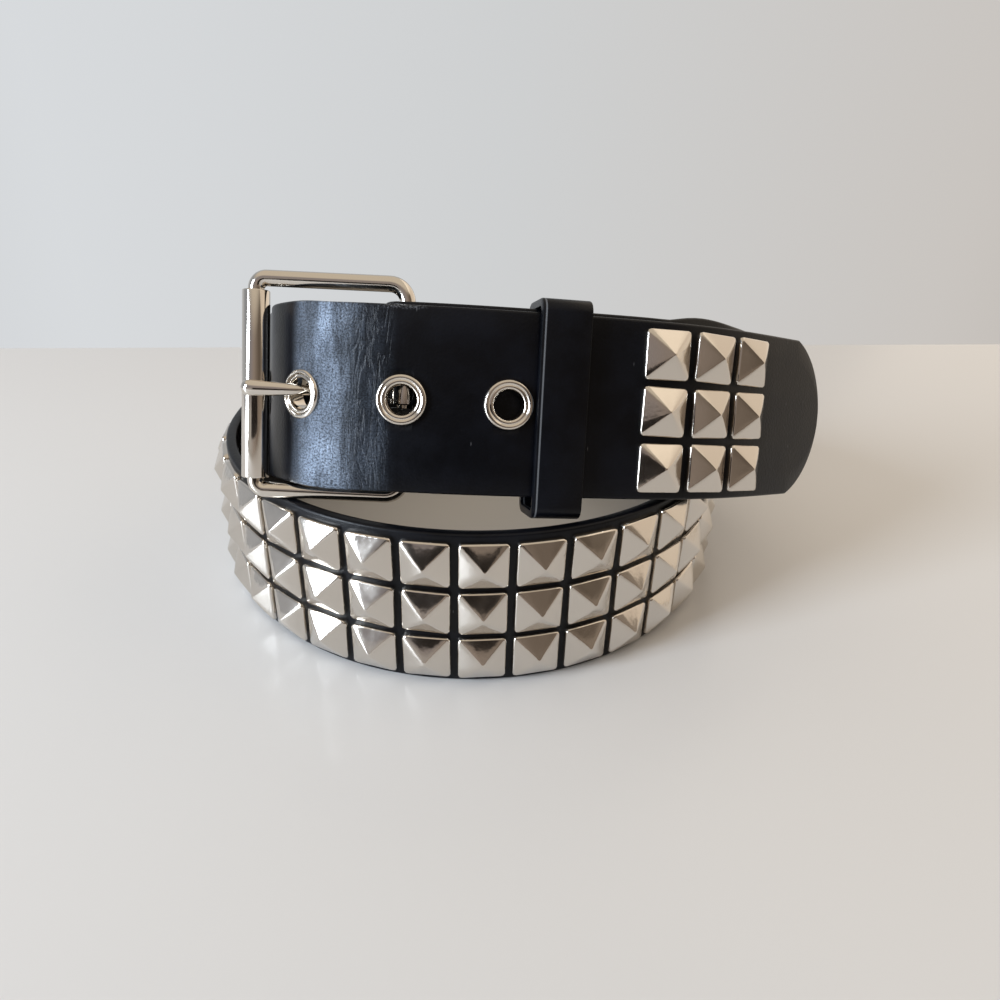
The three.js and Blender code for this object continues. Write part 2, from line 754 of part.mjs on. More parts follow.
// An eyelet is a barrel through the strap, with a double rolled rim and a flat back rim.
function eyeletGeometry() {
  const barrel = EYELET_HOLE + EYELET_WALL;
  const seat = half + FIT_GAP;
  const back = -half + FIT_GAP / 2;
  const face = EYELET_FACE.map(({ out, rise }) => [
    EYELET_HOLE + out * (EYELET_RIM - EYELET_HOLE),
    seat + rise * EYELET_PROUD,
  ]);
  const profile = [
    [EYELET_HOLE, back],
    [EYELET_BACK_RIM, back],
    [EYELET_BACK_RIM, back + EYELET_BACK_THICK],
    [barrel, back + EYELET_BACK_THICK],
    [barrel, seat],
    ...face,
    [EYELET_HOLE, back],
  ].map(([radius, height]) => new THREE.Vector2(radius, height));
  return new THREE.LatheGeometry(profile, EYELET_SIDES);
}

function eyelets() {
  const set = new THREE.Group();
  eyeletLengths.forEach((length, i) => {
    const spot = onStrap(length, eyeletReach, 0, 0);
    set.add(named(`eyelet_${i + 1}`, eyeletGeometry(), nickelMaterial(), spot));
  });
  return set;
}

// A leather loop round the three layers of the strap.
function keeper() {
  const { point, tangent, width, outward } = route.at(frontBarLength + KEEPER_FROM_BAR);
  const high = STRAP_WIDTH / 2 + KEEPER_OVER_EDGE;
  const outer = half + 2 * FIT_GAP;
  const inner = -half - 2 * layerPitch - 2 * FIT_GAP;
  const outline = (Path, grow, corner) => {
    const [left, right] = [inner - grow, outer + grow];
    const [low, top] = [-high - grow - KEEPER_DROP, high + grow - KEEPER_DROP];
    const path = new Path();
    path.moveTo(left + corner, low);
    path.lineTo(right - corner, low);
    path.absarc(right - corner, low + corner, corner, -Math.PI / 2, 0);
    path.lineTo(right, top - corner);
    path.absarc(right - corner, top - corner, corner, 0, Math.PI / 2);
    path.lineTo(left + corner, top);
    path.absarc(left + corner, top - corner, corner, Math.PI / 2, Math.PI);
    path.lineTo(left, low + corner);
    path.absarc(left + corner, low + corner, corner, Math.PI, 1.5 * Math.PI);
    return path;
  };
  const shape = outline(THREE.Shape, KEEPER_THICK, KEEPER_CORNER);
  shape.holes.push(outline(THREE.Path, 0, KEEPER_CORNER - KEEPER_THICK));
  const geometry = new THREE.ExtrudeGeometry(shape, {
    depth: KEEPER_WIDTH,
    bevelEnabled: false,
    curveSegments: 3,
  });
  geometry.translate(0, 0, -KEEPER_WIDTH / 2);
  const matrix = new THREE.Matrix4()
    .makeBasis(outward, width, tangent.clone().negate())
    .setPosition(point);
  return named("keeper", geometry, leatherMaterial(), matrix);
}

const buckle = new THREE.Group();
buckle.add(buckleFrame(), buckleRoller(), buckleProng());

const belt = new THREE.Group();
belt.add(named("strap", strapGeometry(), leatherMaterial()), keeper(), studField());
belt.add(tipStuds(), eyelets(), buckle);

// The origin is under the middle of the whole belt, on the table.
const root = new THREE.Group();
root.add(belt);
root.updateMatrixWorld(true);
const box = new THREE.Box3().setFromObject(belt, true);
belt.position.set(-(box.min.x + box.max.x) / 2, -(box.min.y + box.max.y) / 2, -box.min.z);

export default root;
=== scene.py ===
import json
import math

import bmesh
import bpy
import numpy as np
from mathutils import Matrix


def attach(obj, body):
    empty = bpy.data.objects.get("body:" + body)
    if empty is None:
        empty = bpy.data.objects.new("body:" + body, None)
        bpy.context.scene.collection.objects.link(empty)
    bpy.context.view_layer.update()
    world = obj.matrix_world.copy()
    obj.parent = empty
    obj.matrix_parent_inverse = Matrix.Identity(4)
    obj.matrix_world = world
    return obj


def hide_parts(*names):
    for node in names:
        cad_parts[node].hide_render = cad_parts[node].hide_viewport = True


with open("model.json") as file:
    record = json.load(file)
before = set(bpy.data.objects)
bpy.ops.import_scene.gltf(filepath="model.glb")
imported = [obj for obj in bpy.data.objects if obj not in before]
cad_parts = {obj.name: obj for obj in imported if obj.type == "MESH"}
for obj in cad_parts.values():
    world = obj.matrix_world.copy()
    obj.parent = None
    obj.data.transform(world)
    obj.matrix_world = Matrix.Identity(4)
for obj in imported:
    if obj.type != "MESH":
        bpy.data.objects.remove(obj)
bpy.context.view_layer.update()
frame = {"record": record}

MM = 0.001

# Strap
STRAP_WIDTH = 44.45
STRAP_THICK = 3.0
EDGE_ROUND = 0.7
TIP_ROUND = 24.0
TIP_FLAT = 5.0
FLAP_LENGTH = 52.0
LAYER_GAP = 0.95
LAYER_PITCH = STRAP_THICK + LAYER_GAP
FIT_GAP = 0.3
HALF = STRAP_THICK / 2
STATION_STEP = 1.5
TIP_STATIONS = 16

# Coil
COIL_RADIUS = 74.8
UPPER_LEAN = math.radians(20.6)
UPPER_SIDE_FALL = math.radians(0.9)
UPPER_OVER_LOWER = 6.1
FRONT_LIFT = STRAP_WIDTH + UPPER_OVER_LOWER
BUCKLE_END_RAISED = 1.2
CHORD_ERROR = 0.12
WIRE = 4.0
FOLD_RADIUS = WIRE / 2 + FIT_GAP + CHORD_ERROR + HALF
FOLD_STEPS = 8

# Studs
STUD_SIZE = 12.45
STUD_SKIRT = 1.3
STUD_RISE = 3.1
STUD_FOOT = 0.3
STUD_RIM = 0.42
STUD_CORNER = 0.95
STUD_BULGE = 0.14
STUD_SIDES = 24
ROW_COUNT = 3
ROW_PITCH = 14.05
FIELD_PITCH = 13.85
FIELD_PHASE = -0.6
FIELD_FROM_BAR = 93.0
FIELD_FROM_TIP = 226.0
TIP_STUD_COLUMNS = 3
TIP_STUD_PITCH = 14.25
TIP_STUD_START = 39.8
# Degrees by which a stud turns, and leans both ways, at random.
STUD_LEANS = (0.7, 0.6, 0.6)

# Eyelets
EYELET_COUNT = 5
EYELET_PITCH = 25.4
EYELET_FROM_TIP = 107.6
PRONG_EYELET = 2
PRONG_EYELET_TO_BAR = 25.0
EYELET_HOLE = 3.5
EYELET_RIM = 6.1
EYELET_BACK_RIM = 5.0
EYELET_BARREL = 3.95
EYELET_ROLL = 0.75
EYELET_INNER_ROLL = 4.35
EYELET_REACH = EYELET_RIM + FIT_GAP

# Buckle
BUCKLE_SPAN = 37.3
BUCKLE_INSIDE = 48.2
BUCKLE_HIGH = BUCKLE_INSIDE + WIRE
BUCKLE_RISE = 0.7
ROLLER_CORNER = 2.6
BAR_CORNER = 4.4
ROLLER_OUTER = 3.35
ROLLER_LENGTH = 46.2
ROLLER_WALL = 0.9
ROLLER_EDGE = 0.3
ROLLER_EDGE_STEP = 0.09
PRONG_THICK = 2.9
PRONG_CLIMB = math.tan(math.radians(25))
PRONG_OVERHANG = 0.6
PRONG_EYE_WIDTH = 5.0
PRONG_EYE_WALL = 1.5
PRONG_EYE_PLAY = 0.25
PRONG_EYE_EDGE = 0.3
PRONG_HEEL = 4
PRONG_EYE_JOIN = 0.6
PRONG_FLAT = 5
PRONG_TIP_DROP = 0.3
# The prong's way through its eyelet: along, how far it climbs by then, and outward.
PRONG_IN_HOLE = [(7, -6.2, 0), (3, -3, 0), (0, 0, 0.4), (-3, 3.8, 0)]
# The pin is flattened: wider over the roller, and narrowing towards its eyelet.
PRONG_WIDENS_AT = [-BUCKLE_SPAN, -31, -27, -24, -20]
PRONG_WIDENS_BY = [1.34, 1.2, 1.02, 0.85, 0.8]
SLOT_WIDTH = 6.6
SLOT_REACH = 5.6

# Keeper
KEEPER_FROM_BAR = 38.5
KEEPER_DROP = 0.9
KEEPER_WIDTH = 12.4
KEEPER_THICK = 2.0
KEEPER_OVER_EDGE = 2.3
KEEPER_SLACK = 0.6
KEEPER_CORNER = 3.2
KEEPER_INNER_CORNER = 1.2
KEEPER_EDGE = 0.45
KEEPER_EDGE_STEP = 0.13
KEEPER_INNER_EDGE = 0.1
KEEPER_LINE_IN = 0.9

# Texture coordinates: millimetres to one unit, and shifts that keep them positive.
TEXTURE_UNIT = 100
TEXTURE_SHIFT = 30
KEEPER_SHIFT = 60

# Route rows, seen from above: shares of the coil's radius to the right and back, how far the
# lower edge follows the upper turn's plane, the share of its lean, and millimetres raised.
FRONT = [
    (-0.201, -0.898, 1, 1, 0),
    (-0.07, -0.898, 1, 1, 0),
    (0.063, -0.889, 1, 1, 0),
    (0.194, -0.873, 1, 1, 0),
    (0.325, -0.852, 1, 1, 0),
    (0.456, -0.827, 1, 1, 0),
    (0.584, -0.798, 1, 1, 0),
    (0.709, -0.76, 1, 1, 0),
]
BUCKLE_END_TO_TABLE = [
    (0.805, -0.652, 1, 1.06, 2.6),
    (0.93, -0.555, 1, 1.03, 1.9),
    (1.05, -0.4, 1, 0.95, 1.2),
    (1.13, -0.19, 1, 0.85, 0.5),
    (1.157, 0.04, 1, 0.7, 0),
    (1.137, 0.29, 1, 0.54, 0),
    (1.05, 0.55, 0.8, 0.38, 0),
    (0.88, 0.79, 0.4, 0.24, 0),
    (0.62, 0.965, 0.12, 0.12, 0),
    (0.29, 1.065, 0, 0.04, 0),
    (-0.06, 1.085, 0, 0, 0),
    (-0.4, 1.01, 0, 0, 0),
    (-0.69, 0.83, 0, 0, 0),
    (-0.89, 0.57, 0, 0, 0),
    (-0.985, 0.27, 0, 0, 0),
]
RING_STEPS = 12
TABLE_TO_HOLES = [
    (0.975, 0.26, 0, 0, 0),
    (0.88, 0.51, 0, 0, 0),
    (0.7, 0.725, 0, 0, 0),
    (0.455, 0.865, 0, 0, 0),
    (0.16, 0.92, 0, 0, 0),
    (-0.14, 0.91, 0, 0.05, 0),
    (-0.395, 0.82, 0.15, 0.14, 0),
    (-0.6, 0.655, 0.5, 0.26, 0),
    (-0.73, 0.445, 0.85, 0.4, 0),
    (-0.81, 0.21, 1, 0.55, 0),
    (-0.819, -0.04, 1, 0.7, 0),
    (-0.793, -0.27, 1, 0.84, 0),
    (-0.747, -0.44, 1, 0.94, 0),
    (-0.705, -0.56, 1, 1, 0),
    (-0.662, -0.682, 1, 1, 0.4),
    (-0.594, -0.778, 1, 1, 0.4),
    (-0.522, -0.846, 1, 1, 0.3),
    (-0.435, -0.884, 1, 1, 0),
    (-0.33, -0.897, 1, 1, 0),
]
FREE_TIP = [
    (0.83, -0.706, 1, 1, 0),
    (0.945, -0.638, 1, 1, 0),
    (1.06, -0.555, 1, 1, 0),
    (1.175, -0.463, 1, 1, 0),
    (1.29, -0.37, 1, 1, 0),
    (1.405, -0.276, 1, 1, 0),
]

rng = np.random.default_rng(7)

# The lower turn's centre on the table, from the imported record's mount under its front.
mount = next(m for m in frame["record"]["mounts"] if m["name"] == "lower_edge")
LAYOUT_ORIGIN = np.array([mount["pos_m"][0], mount["pos_m"][1] + COIL_RADIUS * MM, 0.00006])


def unit(vector):
    return vector / np.linalg.norm(vector, axis=-1, keepdims=True)


def upper_height(x, y):
    behind_front = y - FRONT[1][1] * COIL_RADIUS
    return FRONT_LIFT - behind_front * math.tan(UPPER_LEAN) - x * math.tan(UPPER_SIDE_FALL)


def width_direction(share):
    return unit(np.array([share * math.tan(UPPER_SIDE_FALL), math.tan(share * UPPER_LEAN), 1.0]))


def place(row):
    right, back, rise, lean, raised = row
    return dict(x=right * COIL_RADIUS, y=back * COIL_RADIUS, rise=rise, lean=lean, raised=raised)


def strap_centre(spot):
    edge_drop = HALF * math.sin(spot["lean"] * UPPER_LEAN)
    height = max(spot["rise"] * upper_height(spot["x"], spot["y"]), edge_drop)
    reach = STRAP_WIDTH / 2 + spot["raised"]
    return np.array([spot["x"], spot["y"], height]) + width_direction(spot["lean"]) * reach


def layer_behind(spots, depth):
    moved = []
    for i, spot in enumerate(spots):
        before = spots[max(i - 1, 0)]
        after = spots[min(i + 1, len(spots) - 1)]
        dx = after["x"] - before["x"]
        dy = (after["y"] - before["y"]) / math.cos(UPPER_LEAN)
        size = math.hypot(dx, dy)
        x = spot["x"] - dy / size * depth
        y = spot["y"] + dx / size * depth * math.cos(UPPER_LEAN)
        moved.append(dict(spot, x=x, y=y, raised=BUCKLE_END_RAISED))
    return moved


def route_spots():
    front = [place(row) for row in FRONT]
    buckle_end = layer_behind(front, LAYER_PITCH)
    bar = layer_behind(front[:2], LAYER_PITCH + FOLD_RADIUS)[0]
    fold = []
    for i in range(FOLD_STEPS + 1):
        turn = math.pi * i / FOLD_STEPS
        x = bar["x"] - FOLD_RADIUS * math.sin(turn)
        y = bar["y"] + FOLD_RADIUS * math.cos(turn) * math.cos(UPPER_LEAN)
        fold.append(dict(bar, x=x, y=y))
    behind = layer_behind(front, 2 * LAYER_PITCH)
    flap = [s for s in behind if 3 * FOLD_RADIUS < s["x"] - bar["x"] < FLAP_LENGTH]
    last = flap[-1]
    following = behind[behind.index(last) + 1]
    share = (bar["x"] + FLAP_LENGTH - last["x"]) / (following["x"] - last["x"])
    x = last["x"] + (following["x"] - last["x"]) * share
    y = last["y"] + (following["y"] - last["y"]) * share
    flap.append(dict(last, x=x, y=y))
    ring = []
    for i in range(RING_STEPS + 1):
        turn = math.radians(-90 + 180 * i / RING_STEPS)
        ring.append(place((math.sin(turn), -math.cos(turn), 0, 0, 0)))
    spots = flap[::-1] + fold + buckle_end[1:]
    spots += [place(row) for row in BUCKLE_END_TO_TABLE]
    ring_at = len(spots) + RING_STEPS // 2
    spots += ring + [place(row) for row in TABLE_TO_HOLES]
    front_at = len(spots)
    spots += front + [place(row) for row in FREE_TIP]
    return spots, bar, len(flap) + len(fold) - 1, ring_at, front_at


def smooth_curve(points, per_spot):
    """A centripetal curve through the points, with its tangents."""
    tiny = 1e-4
    points = np.array(points)
    ends = (2 * points[0] - points[1], 2 * points[-1] - points[-2])
    padded = np.vstack([ends[0], points, ends[1]])
    found, tangents = [], []
    for i in range(len(points) - 1):
        p0, p1, p2, p3 = padded[i : i + 4]
        d0, d1, d2 = (np.linalg.norm(b - a) ** 0.5 for a, b in ((p0, p1), (p1, p2), (p2, p3)))
        d1 = d1 if d1 > tiny else 1.0
        d0 = d0 if d0 > tiny else d1
        d2 = d2 if d2 > tiny else d1
        t1 = ((p1 - p0) / d0 - (p2 - p0) / (d0 + d1) + (p2 - p1) / d1) * d1
        t2 = ((p2 - p1) / d1 - (p3 - p1) / (d1 + d2) + (p3 - p2) / d2) * d1
        count = per_spot + (i == len(points) - 2)
        t = (np.arange(count) / per_spot)[:, None]
        c2 = -3 * p1 + 3 * p2 - 2 * t1 - t2
        c3 = 2 * p1 - 2 * p2 + t1 + t2
        found.append(p1 + t1 * t + c2 * t**2 + c3 * t**3)
        tangents.append(t1 + 2 * c2 * t + 3 * c3 * t**2)
    return np.vstack(found), np.vstack(tangents)


SPOTS, BAR_SPOT, BAR_AT, RING_AT, FRONT_AT = route_spots()
PER_SPOT = 40
route_points, route_tangents = smooth_curve([strap_centre(s) for s in SPOTS], PER_SPOT)
route_across = smooth_curve([width_direction(s["lean"]) for s in SPOTS], PER_SPOT)[0]
route_tangents = unit(route_tangents)
route_steps = np.linalg.norm(np.diff(route_points, axis=0), axis=1)
route_lengths = np.concatenate([[0.0], np.cumsum(route_steps)])
BAR_LENGTH = route_lengths[BAR_AT * PER_SPOT]
RING_MIDDLE = route_lengths[RING_AT * PER_SPOT]
FRONT_BAR_LENGTH = route_lengths[FRONT_AT * PER_SPOT]
PRONG_EYELET_LENGTH = FRONT_BAR_LENGTH - PRONG_EYELET_TO_BAR
STRAP_LENGTH = PRONG_EYELET_LENGTH + PRONG_EYELET * EYELET_PITCH + EYELET_FROM_TIP


def along_route(values, length):
    columns = [np.interp(length, route_lengths, values[:, k]) for k in range(3)]
    return np.stack(columns, axis=-1)


def at(length):
    """Point, travel, width and outward directions of the strap's middle at lengths."""
    point = along_route(route_points, length)
    tangent = unit(along_route(route_tangents, length))
    width = along_route(route_across, length)
    width = unit(width - (width * tangent).sum(-1, keepdims=True) * tangent)
    return point, tangent, width, np.cross(tangent, width)


def facet(start, end):
    a, b = at(start), at(end)
    tangent = unit(b[0] - a[0])
    width = a[2] + b[2]
    width = unit(width - (width @ tangent) * tangent)
    return (a[0] + b[0]) / 2, tangent, width, np.cross(tangent, width)


# Meshes


def face_outwards(mesh):
    shape = bmesh.new()
    shape.from_mesh(mesh)
    bmesh.ops.recalc_face_normals(shape, faces=shape.faces)
    shape.to_mesh(mesh)
    shape.free()


def add_object(name, data):
    made = bpy.data.objects.new(name, data)
    bpy.context.scene.collection.objects.link(made)
    return made


def make_piece(name, points, faces, material, uv=None, smooth=True, sharp=40):
    mesh = bpy.data.meshes.new(name)
    placed = np.asarray(points, float) * MM + LAYOUT_ORIGIN
    mesh.from_pydata(placed.tolist(), [], faces)
    if uv is not None:
        layer = mesh.uv_layers.new(name="UVMap")
        corners = np.zeros(len(mesh.loops), np.int32)
        mesh.loops.foreach_get("vertex_index", corners)
        layer.data.foreach_set("uv", np.asarray(uv, np.float32)[corners].ravel())
    mesh.validate()
    if smooth:
        face_outwards(mesh)
        mesh.polygons.foreach_set("use_smooth", [True] * len(mesh.polygons))
        mesh.set_sharp_from_angle(angle=math.radians(sharp))
    mesh.materials.append(material)
    return add_object(name, mesh)


def ring_faces(rings, count, closed=False):
    """Faces between rings of count points, capped at both ends unless they close up."""
    faces = []
    spans = rings if closed else rings - 1
    for i in range(spans):
        here = i * count
        there = ((i + 1) % rings) * count
        for j in range(count):
            k = (j + 1) % count
            faces.append((here + j, here + k, there + k, there + j))
    if not closed:
        faces.append(tuple(range(count))[::-1])
        faces.append(tuple(range((rings - 1) * count, rings * count)))
    return faces


def shifted(faces, start):
    return [tuple(start + corner for corner in face) for face in faces]


def tube(centres, radii, sides, side_axis, closed=False):
    """A round tube along centres. side_axis is a direction that stays across it."""
    centres = np.asarray(centres, float)
    if closed:
        ahead = np.roll(centres, -1, 0) - np.roll(centres, 1, 0)
    else:
        ahead = np.gradient(centres, axis=0)
    tangent = unit(ahead)
    side = np.broadcast_to(np.asarray(side_axis, float), tangent.shape)
    side = unit(side - (side * tangent).sum(-1, keepdims=True) * tangent)
    other = np.cross(tangent, side)
    turn = np.linspace(0, 2 * math.pi, sides, endpoint=False)
    radii = np.broadcast_to(np.asarray(radii, float), len(centres))
    cosines = np.cos(turn)[None, :, None]
    sines = np.sin(turn)[None, :, None]
    ring = side[:, None] * cosines + other[:, None] * sines
    points = centres[:, None] + ring * radii[:, None, None]
    return points.reshape(-1, 3), ring_faces(len(centres), sides, closed)


def lathe(profile, sides, origin, axes):
    """A turned shape. Rows of its closed profile are radius and height, and axes are two
    sides and the axis."""
    side, other, axis = axes
    turn = np.linspace(0, 2 * math.pi, sides, endpoint=False)
    points = []
    for angle in turn:
        away = side * math.cos(angle) + other * math.sin(angle)
        for radius, height in profile:
            points.append(origin + away * radius + axis * height)
    return np.array(points), ring_faces(sides, len(profile), closed=True)


def arc(centre, radius, start, end, steps):
    turn = np.radians(np.linspace(start, end, steps + 1))
    return [(centre[0] + radius * math.cos(t), centre[1] + radius * math.sin(t)) for t in turn]


# Materials


def principled(name):
    material = bpy.data.materials.new(name)
    material.use_nodes = True
    return material, material.node_tree.nodes["Principled BSDF"]


def new_node(owner, kind, source=None, **values):
    """A node of a material or a world, with its values set. source feeds its vector."""
    node = owner.node_tree.nodes.new("ShaderNode" + kind)
    for key, value in values.items():
        node.inputs[key].default_value = value
    if source is not None:
        owner.node_tree.links.new(source, node.inputs["Vector"])
    return node


def texture(material, kind, source, **values):
    """A texture's value at the places that source gives."""
    node = new_node(material, "Tex" + kind, source, **values)
    return node.outputs["Distance" if kind == "Voronoi" else "Fac"]


def slanted(material, source, degrees, scale):
    turn = (0, 0, math.radians(degrees))
    return new_node(material, "Mapping", source, Rotation=turn, Scale=scale).outputs["Vector"]


def math_node(owner, operation, first, second=0):
    """An operation on two values, each a number or a socket."""
    node = new_node(owner, "Math")
    node.operation = operation
    for slot, value in enumerate((first, second)):
        if isinstance(value, (int, float)):
            node.inputs[slot].default_value = value
        else:
            owner.node_tree.links.new(value, node.inputs[slot])
    return node.outputs["Value"]


def product(owner, *values):
    result = values[0]
    for value in values[1:]:
        result = math_node(owner, "MULTIPLY", result, value)
    return result


def ranged(owner, value, low, high, start, end, smooth=True):
    """Carries a value from one range to another, held at its ends."""
    node = new_node(owner, "MapRange")
    if smooth:
        node.interpolation_type = "SMOOTHSTEP"
    for key, number in zip(("From Min", "From Max", "To Min", "To Max"), (low, high, start, end)):
        node.inputs[key].default_value = number
    owner.node_tree.links.new(value, node.inputs["Value"])
    return node.outputs["Result"]


def window(material, value, low, high, soft):
    """One between two values, fading to nothing outside them."""
    rising = ranged(material, value, low - soft, low, 0, 1)
    falling = ranged(material, value, high, high + soft, 1, 0)
    return product(material, rising, falling)


def mixed_colour(owner, factor, first, second):
    links = owner.node_tree.links
    node = new_node(owner, "Mix")
    node.data_type = "RGBA"
    links.new(factor, node.inputs["Factor"])
    for slot, colour in ((6, first), (7, second)):
        if isinstance(colour, tuple):
            node.inputs[slot].default_value = (*colour, 1)
        else:
            links.new(colour, node.inputs[slot])
    return node.outputs[2]


def bump(material, height, strength, distance, under=None):
    """The normal that a height makes, on top of the normal under it."""
    links = material.node_tree.links
    node = new_node(material, "Bump", Strength=strength, Distance=distance)
    links.new(height, node.inputs["Height"])
    if under is not None:
        links.new(under, node.inputs["Normal"])
    return node.outputs["Normal"]


LEATHER_DARKEST = (0.0012, 0.0015, 0.0026)
LEATHER_LIGHTEST = (0.0026, 0.0034, 0.0062)
# Pale blue of the worn stretch: the leather's paler worn mottle, brightened into a painted sheen of
# window light.
LEATHER_WEAR_AND_SHEEN = (0.46, 0.57, 0.75)
SCRATCH_COLOUR = (0.16, 0.16, 0.17)
MARK_COLOUR = (0.12, 0.125, 0.135)
LINE_HALF = 0.0008
LINE_SOFT = 0.0022


def wear_and_sheen_stretch(material, along, start, end):
    """How creased the strap is along its length, and how strongly its worn mottle and painted sheen
    of window light show there.
    """
    creased = window(material, along, start + 0.05, end, 0.06)
    appearing = ranged(material, along, start - 0.03, start + 0.085, 0, 1)
    fading = ranged(material, along, end - 0.12, end - 0.03, 1, 0.14)
    ending = ranged(material, along, end - 0.01, end + 0.06, 1, 0)
    return creased, product(material, appearing, fading, ending)


def pale_marks(material, along, across, crumb, edge_lines, scuff):
    marks = []
    for line in edge_lines:
        marks.append(window(material, across, line - LINE_HALF, line + LINE_HALF, LINE_SOFT))
    if scuff:
        low, high, top = scuff
        spot = window(material, along, low, high, 0.03)
        high_up = ranged(material, across, top - 0.014, top - 0.002, 0, 1)
        ragged = ranged(material, crumb, 0.46, 0.6, 0, 1)
        marks.append(product(material, spot, high_up, ragged))
    return marks


def leather_material(name, wear_and_sheen_from, wear_and_sheen_to, edge_lines, scuff):
    """Smooth black leather. Its creased stretch runs between the two lengths given first, and there
    a painted blue sheen of window light lies over a worn mottle.
    edge_lines are places across with a pale worn line, and scuff is a frayed place: from, to,
    across."""
    material, shader = principled(name)
    links = material.node_tree.links
    shader.inputs["Specular IOR Level"].default_value = 0.2
    places = new_node(material, "TexCoord").outputs
    split = new_node(material, "SeparateXYZ", places["UV"])
    along, across = split.outputs["X"], split.outputs["Y"]
    grain = texture(material, "Voronoi", places["Object"], Scale=1500)
    fine = texture(material, "Noise", places["Object"], Scale=1100, Detail=5)
    patches = texture(material, "Noise", places["Object"], Scale=70, Detail=6, Roughness=0.6)
    crumb = texture(material, "Noise", places["UV"], Scale=210, Detail=4, Roughness=0.75)
    cells = texture(material, "Voronoi", places["UV"], Scale=150)
    slant = slanted(material, places["UV"], -28, (1.0, 0.2, 1.0))
    creases = texture(material, "Noise", slant, Scale=34, Detail=4, Roughness=0.6, Distortion=0.7)
    streaks = texture(material, "Noise", slant, Scale=13, Detail=3, Roughness=0.6)
    lines = slanted(material, places["UV"], 25, (34.0, 7.0, 1.0))
    scratches = texture(material, "Voronoi", lines, Scale=1.0)

    # Where it is worn: creases on a slant, over a fine crumbly mottle, which also carries a painted
    # sheen of window light.
    from_middle = math_node(material, "ABSOLUTE", math_node(material, "SUBTRACT", creases, 0.5))
    cracks = ranged(material, from_middle, 0.0, 0.1, 0, 1)
    creased, mottle_and_sheen = wear_and_sheen_stretch(material, along, wear_and_sheen_from, wear_and_sheen_to)

    # Colour: navy black, pale blue where worn, as a worn mottle with a painted sheen of window
    # light on it, and small scratches, worn lines and a frayed place.
    tone = ranged(material, patches, 0.35, 0.7, 0, 1)
    plain = mixed_colour(material, tone, LEATHER_DARKEST, LEATHER_LIGHTEST)
    streaky = ranged(material, streaks, 0.4, 0.58, 0.38, 1)
    lumps = product(material, streaky, ranged(material, crumb, 0.37, 0.6, 0.2, 1))
    wear_and_sheen_patch = ranged(material, patches, 0.3, 0.65, 0.45, 1)
    # Share of the pale blue: the worn mottle, with a painted sheen of window light on it.
    pale = product(material, mottle_and_sheen, lumps, wear_and_sheen_patch)
    coloured = mixed_colour(material, pale, plain, LEATHER_WEAR_AND_SHEEN)
    scratched = ranged(material, scratches, 0.0, 0.05, 0.6, 0)
    colour = mixed_colour(material, scratched, coloured, SCRATCH_COLOUR)
    for mark in pale_marks(material, along, across, crumb, edge_lines, scuff):
        colour = mixed_colour(material, mark, colour, MARK_COLOUR)
    links.new(colour, shader.inputs["Base Color"])

    # Gloss: uneven where worn, and brighter on the crumbs.
    even = ranged(material, patches, 0.3, 0.7, 0.3, 0.38)
    broken = ranged(material, crumb, 0.38, 0.62, 0.12, -0.04)
    rough = math_node(material, "ADD", even, product(material, mottle_and_sheen, broken))
    links.new(rough, shader.inputs["Roughness"])

    # Relief: a fine grain all over, with crumbs and creases where worn.
    grained = bump(material, math_node(material, "ADD", grain, fine), 0.3, 0.00008)
    crumbs = math_node(material, "ADD", crumb, product(material, cells, 0.5))
    folds = product(material, creased, cracks, 0.34)
    height = math_node(material, "ADD", folds, product(material, mottle_and_sheen, crumbs))
    links.new(bump(material, height, 0.85, 0.0004, grained), shader.inputs["Normal"])
    return material


def metal_material(name, colour, roughness, spread, dents):
    """Nickel with gloss that varies by spread, and shallow dents."""
    material, shader = principled(name)
    links = material.node_tree.links
    shader.inputs["Base Color"].default_value = (*colour, 1)
    shader.inputs["Metallic"].default_value = 1.0
    places = new_node(material, "TexCoord").outputs["Object"]
    marks = texture(material, "Noise", places, Scale=240, Detail=5)
    waves = texture(material, "Noise", places, Scale=330, Detail=2)
    rough = ranged(material, marks, 0.3, 0.7, roughness, roughness + spread, smooth=False)
    links.new(rough, shader.inputs["Roughness"])
    links.new(bump(material, waves, dents, 0.0003), shader.inputs["Normal"])
    return material


# Places on the strap are in texture units: the creased stretch, with its painted sheen, and the
# frayed place. The keeper's creased stretch lies off it.
WEAR_AND_SHEEN_FROM = (PRONG_EYELET_LENGTH - 1) / TEXTURE_UNIT
WEAR_AND_SHEEN_TO = (PRONG_EYELET_LENGTH + 19) / TEXTURE_UNIT
SCUFF_AT = (PRONG_EYELET_LENGTH + EYELET_PITCH) / TEXTURE_UNIT
TOP_EDGE = (STRAP_WIDTH / 2 + TEXTURE_SHIFT) / TEXTURE_UNIT
KEEPER_LINE = (TEXTURE_SHIFT - KEEPER_WIDTH / 2 + KEEPER_LINE_IN) / TEXTURE_UNIT
SCUFF = (SCUFF_AT - 0.035, SCUFF_AT + 0.03, TOP_EDGE)
LEATHER = leather_material("black_leather", WEAR_AND_SHEEN_FROM, WEAR_AND_SHEEN_TO, [], SCUFF)
KEEPER_LEATHER = leather_material("keeper_leather", -9, -8, [KEEPER_LINE], None)
STUD_METAL = metal_material("stud_nickel", (0.65, 0.605, 0.55), 0.09, 0.08, 0.16)
BUCKLE_METAL = metal_material("buckle_nickel", (0.69, 0.645, 0.585), 0.07, 0.05, 0.015)


# Strap

EYELET_LENGTHS = [STRAP_LENGTH - EYELET_FROM_TIP - i * EYELET_PITCH for i in range(EYELET_COUNT)]


